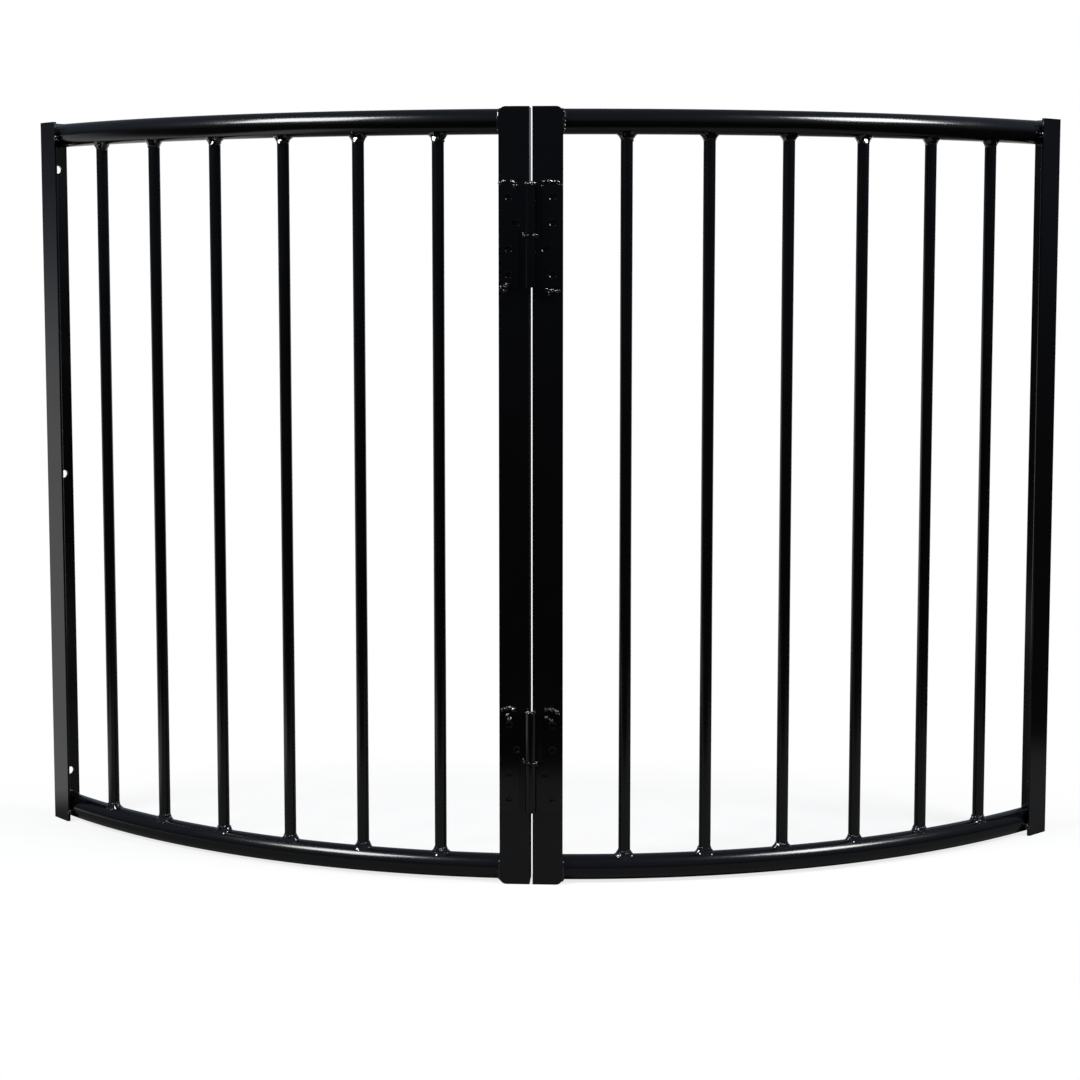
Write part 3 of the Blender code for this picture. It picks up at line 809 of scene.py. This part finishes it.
def turned(name, profile, steps=TURNED_SIDES):
    """A body turned about Z from a profile of (radius, height) points."""
    piece = add_piece(name, lines(name, [[(radius, 0, height) for radius, height in profile]]))
    screw = piece.modifiers.new("turned", "SCREW")
    screw.steps = steps
    screw.render_steps = steps
    screw.use_merge_vertices = True
    screw.merge_threshold = MERGE_DISTANCE
    bake(piece)
    work = bmesh.new()
    work.from_mesh(piece.data)
    bmesh.ops.remove_doubles(work, verts=work.verts, dist=MERGE_DISTANCE)
    bmesh.ops.recalc_face_normals(work, faces=work.faces)
    work.to_mesh(piece.data)
    work.free()
    return piece


def screw_space(place, slope):
    """The space of a countersunk hole through a leaf, wide towards the front, with a sink of that slope."""
    taper = SCREW_SINK_RADIUS - SCREW_HOLE_RADIUS
    depth = taper * slope
    through = 2 * LEAF_THICKNESS
    profile = [(0, -depth), (SCREW_SINK_RADIUS + taper, -depth), (SCREW_HOLE_RADIUS, depth),
               (SCREW_HOLE_RADIUS, through), (0, through)]
    space = turned("screw_space", profile, HOLE_SIDES)
    space.data.transform(Matrix.Translation(place) @ Matrix.Rotation(-math.pi / 2, 4, "X"))
    return space


def hinge_leaf(name, sign, edge, crease, slope):
    """A leaf about its pin's axis: strip, curl, bore and screw holes. The left leaf has the upper knuckle."""
    upper = -sign
    across = Vector((sign, 0, 0))
    half = HINGE_HEIGHT / 2 - KNUCKLE_PROUD
    split = HINGE_HEIGHT / 2 - KNUCKLE_LENGTH + KNUCKLE_PROUD
    cut_back = BARREL_RADIUS + KNUCKLE_RELIEF
    corner = LEAF_CORNER_RADIUS
    outline = arc((LEAF_WIDTH - corner, corner - half), corner, -1, 0)
    outline += arc((LEAF_WIDTH - corner, half - corner), corner, 0, 1)
    outline += [(0, half), (0, split), (cut_back, split), (cut_back, -half)]
    strip = extruded(name, [(u, w * upper) for u, w in outline], LEAF_FRONT, LEAF_FRONT + LEAF_THICKNESS,
                     across, UP, BACK)
    curl = arc((0, 0), BARREL_RADIUS, CURL_START, CURL_END, CURL_STEPS)
    curl += arc((0, 0), BORE_RADIUS * CURL_INSIDE, CURL_END, CURL_START, CURL_STEPS // 2)
    middle = upper * (HINGE_HEIGHT - KNUCKLE_LENGTH) / 2
    knuckle = extruded(name + "_curl", curl, middle - KNUCKLE_LENGTH / 2, middle + KNUCKLE_LENGTH / 2,
                       across, BACK, UP)
    shape_with(strip, [knuckle], "UNION")
    spaces = [round_tool("bore", BORE_RADIUS, 2 * HINGE_HEIGHT, (0, 0, 0), UP, BORE_SIDES)]
    for number in range(SCREWS):
        height = ((SCREWS - 1) / 2 - number) * SCREW_PITCH * upper
        out = SCREW_IN if number == 1 else SCREW_OUT
        spaces.append(screw_space((sign * out, LEAF_FRONT, height), slope))
    shape_with(strip, spaces, "DIFFERENCE")
    soften(strip, edge, hinge_black_coat, segments=2, crease=crease)
    return strip


for hinge, middle in HINGE_MIDDLES.items():
    for side, sign in SIDES.items():
        leaf = hinge_leaf(f"{hinge}_{side}_leaf", sign, **LEAF_KINDS[hinge])
        leaf.data.transform(Matrix.Translation((0, PIN_Y, middle)))
        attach(leaf, f"{side}_half")
        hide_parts(f"{hinge}_hinge_{side}_leaf")

# Pins and washers: the pin is round wire with its ends hammered to a low dome, and a thick washer with a worn
# rim keeps the two knuckles apart. Both stay with the left half.
PIN_DOME = 0.0022
DOME_STEPS = 8
WASHER_EDGE = 0.0009
TURNED_CREASE = math.radians(50)
for hinge, middle in HINGE_MIDDLES.items():
    half = HINGE_HEIGHT / 2
    dome = [(PIN_RADIUS * math.sin(turn), half - PIN_DOME * (1 - math.cos(turn)))
            for turn in degrees(0, 90, DOME_STEPS)]
    pin = turned(f"{hinge}_pin", dome + [(radius, -height) for radius, height in reversed(dome)])
    rim = WASHER_THICKNESS / 2
    outer = arc((BARREL_RADIUS - WASHER_EDGE, rim - WASHER_EDGE), WASHER_EDGE, 1, 0)
    outer += [(radius, -height) for radius, height in reversed(outer)]
    washer = turned(f"{hinge}_washer", [(BORE_RADIUS, rim), *outer, (BORE_RADIUS, -rim), (BORE_RADIUS, rim)])
    for piece, node_name in ((pin, f"{hinge}_hinge_pin"), (washer, f"{hinge}_hinge_washer")):
        piece.data.transform(Matrix.Translation((0, PIN_Y, middle)))
        piece.data.shade_smooth()
        piece.data.set_sharp_from_angle(angle=TURNED_CREASE)
        piece.data.materials.append(hinge_black_coat)
        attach(piece, "left_half")
        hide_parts(node_name)

# Hinge welds: short beads of weld metal over the leaves' corners, thick and uneven, some with a run that
# sagged down the leaf before it set. Each route is (out from the pin, up from the hinge's middle) in mm.
# Smaller beads close the top of each pin and hold the washer at its left and right.
HINGE_BEAD_RADIUS = 0.0020
HINGE_ROUTES = {
    ("upper", "left"): [((30, 49), (28.5, 52), (24, 52.5)),
                        ((20.5, 52), (17, 51.5), (14.8, 48.5), (14.2, 44)),
                        ((30, -50.5), (25, -48), (20, -46.5)), ((28, -53), (22, -52.5))],
    ("upper", "right"): [((29.5, 47), (28, 50.5), (24, 52), (17, 52.5), (12, 51.5), (11.5, 47)),
                         ((13, -51.5), (18, -52.5), (23, -53.5), (29.5, -54)), ((16, -56), (21, -57))],
    ("lower", "left"): [((30, 51), (26, 53), (21, 54), (17, 52), (14.5, 50)),
                        ((24, 49), (22, 45), (20.5, 40.5))],
    ("lower", "right"): [((13, 52), (18, 53), (24, 52), (28.5, 47.5)), ((14, 46.5), (18.5, 43), (22, 39.5))],
}
PIN_RING_RADIUS = 0.0033
PIN_RING_RISE = 0.0001
PIN_RING_TURN = (-160, 160)
WASHER_TAIL = ((8.5, 3.4), (6.6, 2.0))
WASHER_LEFT_TURN = (-92, -70)
WASHER_RIGHT_TURN = (18, 95)
RING_BEAD_RADIUS = 0.0018
RING_STEPS = 20
LEAF_FACE_Y = PIN_Y + LEAF_FRONT
LEAF_SINK, POST_PROUD = 0.0006, 0.0004
MILLIMETRE = 0.001


def on_hinge(sign, middle, out, up):
    """A point on the face of a leaf or, past the leaf's ends, on the post."""
    past_end = abs(up) * MILLIMETRE > HINGE_HEIGHT / 2
    face = FRONT_Y - POST_PROUD if past_end else LEAF_FACE_Y + LEAF_SINK
    return Vector((sign * out * MILLIMETRE, face, middle + up * MILLIMETRE))


def ring_route(radius, height, start, end):
    """An arc about the pin, with angles in degrees from the front towards the right."""
    return [Vector((radius * math.sin(turn), PIN_Y - radius * math.cos(turn), height))
            for turn in degrees(start, end, RING_STEPS)]


for side, sign in SIDES.items():
    routes = []
    for hinge, middle in HINGE_MIDDLES.items():
        for route in HINGE_ROUTES[hinge, side]:
            routes.append([on_hinge(sign, middle, out, up) for out, up in route])
    sizes = {"Bead Radius": HINGE_BEAD_RADIUS, "Ripple Pitch": 0.0062, "Ripple Depth": 0.36,
             "Lump Depth": 0.0012, "Lump Width": 0.0024, "Drops": 30000.0, "Seed": 9.0 + sign,
             "Material": weld_coat}
    welds = from_tree(f"{side}_hinge_welds", weld_bead, sizes, lines(f"{side}_hinge_welds", routes))
    bake(welds)
    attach(welds, f"{side}_half")

rings = []
for middle in HINGE_MIDDLES.values():
    rings.append(ring_route(PIN_RING_RADIUS, middle + HINGE_HEIGHT / 2 + PIN_RING_RISE, *PIN_RING_TURN))
    tail = [on_hinge(-1, middle, out, up) for out, up in WASHER_TAIL]
    rings.append(tail + ring_route(BARREL_RADIUS, middle, *WASHER_LEFT_TURN))
    rings.append(ring_route(BARREL_RADIUS, middle, *WASHER_RIGHT_TURN))
sizes = {"Bead Radius": RING_BEAD_RADIUS, "Ripple Pitch": 0.0045, "Ripple Depth": 0.32, "Lump Depth": 0.0009,
         "Lump Width": 0.0021, "Drops": 26000.0, "Drop Size": 0.0008, "Seed": 4.0, "Material": weld_coat}
ring_welds = from_tree("hinge_ring_welds", weld_bead, sizes, lines("hinge_ring_welds", rings))
bake(ring_welds)
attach(ring_welds, "left_half")

# Floor: a plain sheet that ends a short way in front of the rack. It keeps a soft shadow under the rack and
# fades into the white of the backdrop before its edges. Only the camera sees it pale: in reflections and in
# the light it throws back it is dark grey, except near its left end, which shows white in reflections only, a
# painted reflection on the lower left of the rack.
FLOOR_HALF_WIDTH = 0.95
FLOOR_FRONT, FLOOR_BACK = -0.58, 1.2
FADE_START, FADE_END = 0.45, 0.92
BESIDE_START, BESIDE_END = -0.56, -0.68
SHEET_GREY, SHEET_WHITE = 0.17, 0.9
LEAST_FADE, PAINTED_REFLECTION = 0.78, 0.8
floor_mesh = bpy.data.meshes.new("floor")
floor_corners = [(-FLOOR_HALF_WIDTH, FLOOR_FRONT, 0), (FLOOR_HALF_WIDTH, FLOOR_FRONT, 0),
                 (FLOOR_HALF_WIDTH, FLOOR_BACK, 0), (-FLOOR_HALF_WIDTH, FLOOR_BACK, 0)]
floor_mesh.from_pydata(floor_corners, [], [(0, 1, 2, 3)])
floor = add_piece("floor", floor_mesh)
pale_floor = bpy.data.materials.new("pale_floor")
pale_floor.use_nodes = True
tree = pale_floor.node_tree
tree.nodes.clear()
place = tree.nodes.new("ShaderNodeTexCoord").outputs["Object"]
spread = node(tree, "ShaderNodeVectorMath", {0: place, 1: (1, 2, 1)}, operation="MULTIPLY").outputs[0]
from_rack = node(tree, "ShaderNodeVectorMath", {0: spread}, operation="LENGTH").outputs["Value"]
light_path = tree.nodes.new("ShaderNodeLightPath").outputs
grey = calc(tree, "MULTIPLY_ADD", light_path["Is Camera Ray"], SHEET_WHITE - SHEET_GREY, SHEET_GREY)
paper = node(tree, "ShaderNodeCombineColor", {0: grey, 1: grey, 2: grey}).outputs[0]
sheet = node(tree, "ShaderNodeBsdfDiffuse", {"Color": paper})
white = node(tree, "ShaderNodeEmission", {"Color": (1, 1, 1, 1), "Strength": 1.0})
washed = faded(tree, from_rack, FADE_START, FADE_END, LEAST_FADE, 1.0)
shown = calc(tree, "MULTIPLY", washed, light_path["Is Camera Ray"])
# Painted reflection: near its left end the sheet shows white to glossy rays only, which lightens the lower
# left of the rack.
beside = faded(tree, split_xyz(tree, place)["X"], BESIDE_START, BESIDE_END, 0.0, PAINTED_REFLECTION)
painted_reflection = calc(tree, "MULTIPLY", beside, light_path["Is Glossy Ray"])
shown = calc(tree, "MAXIMUM", shown, painted_reflection)
mixed = node(tree, "ShaderNodeMixShader", {0: shown, 1: sheet.outputs[0], 2: white.outputs[0]})
node(tree, "ShaderNodeOutputMaterial", {"Surface": mixed.outputs[0]})
floor_mesh.materials.append(pale_floor)

# Studio: a white backdrop that stands behind the rack and round its left side, so low that the coat mirrors
# only its foot, a dim room above and in front, and two soft boxes above the rack. Each set of numbers says
# between which values of a direction the light changes, and from what to what.
ROUND_LEFT = -0.35
BACKDROP_FOOT = (0.2, 0.6, 0.014, 0.8)
ROOM_ABOVE = (0.0, 0.4, 0.062, 0.16)
BACKDROP_TOP = (-0.06, 0.03)
FAR_BEHIND = (0.62, 0.86, 0.0, 0.25)
COOL_WHITE = (0.8, 0.97, 1.25, 1)
SOFT_BOXES = {"left_soft_box": ((-1.24, -0.91, 1.71), 0.72, 38),
              "right_soft_box": ((1.47, -0.51, 1.74), 0.66, 36)}
world = bpy.data.worlds.new("studio")
bpy.context.scene.world = world
world.use_nodes = True
tree = world.node_tree
tree.nodes.clear()
looking = split_xyz(tree, tree.nodes.new("ShaderNodeTexCoord").outputs["Generated"])
round_back = calc(tree, "MULTIPLY_ADD", looking["X"], ROUND_LEFT, looking["Y"])
low = faded(tree, round_back, *BACKDROP_FOOT)
high = faded(tree, looking["Z"], *ROOM_ABOVE)
above = faded(tree, looking["Z"], *BACKDROP_TOP)
front_room = calc(tree, "MULTIPLY_ADD", calc(tree, "SUBTRACT", high, low), above, low)
behind = faded(tree, looking["Y"], *FAR_BEHIND)
room = calc(tree, "MAXIMUM", front_room, behind)
light_path = tree.nodes.new("ShaderNodeLightPath").outputs
seen = calc(tree, "MAXIMUM", light_path["Is Camera Ray"], light_path["Is Transmission Ray"])
strength = calc(tree, "MAXIMUM", room, seen)
hidden = calc(tree, "SUBTRACT", 1.0, seen)
inputs = {0: calc(tree, "MULTIPLY", above, hidden), 6: (1, 1, 1, 1), 7: COOL_WHITE}
cool = node(tree, "ShaderNodeMix", inputs, data_type="RGBA")
backdrop = node(tree, "ShaderNodeBackground", {"Color": cool.outputs[2], "Strength": strength})
node(tree, "ShaderNodeOutputWorld", {"Surface": backdrop.outputs[0]})

for name, (place, width, watts) in SOFT_BOXES.items():
    lamp = bpy.data.lights.new(name, "AREA")
    lamp.shape = "SQUARE"
    lamp.size = width
    lamp.energy = watts
    soft_box = add_piece(name, lamp)
    soft_box.location = place
    facing = Vector((0, 0, POST_LENGTH / 2)) - Vector(place)
    soft_box.rotation_euler = facing.to_track_quat("-Z", "Y").to_euler()

# Camera: at the photograph's place, a little right of the middle, looking slightly down and to the left.
FOCAL_PIXELS = 2100.8
PHOTO_PIXELS = 1080
SENSOR_WIDTH = 36.0
AXIS_PIXEL_Y = 450.0
CAMERA_PLACE = (0.1250, -2.1669, 0.6225)
CAMERA_PITCH = math.radians(5.192)
CAMERA_TURN = math.radians(3.242)
lens = bpy.data.cameras.new("camera")
lens.sensor_width = SENSOR_WIDTH
lens.lens = FOCAL_PIXELS / PHOTO_PIXELS * SENSOR_WIDTH
lens.shift_y = (AXIS_PIXEL_Y - PHOTO_PIXELS / 2) / PHOTO_PIXELS
camera = add_piece("camera", lens)
camera.location = CAMERA_PLACE
camera.rotation_euler = (math.pi / 2 - CAMERA_PITCH, 0, CAMERA_TURN)
bpy.context.scene.camera = camera
bpy.context.scene.view_settings.view_transform = "Standard"
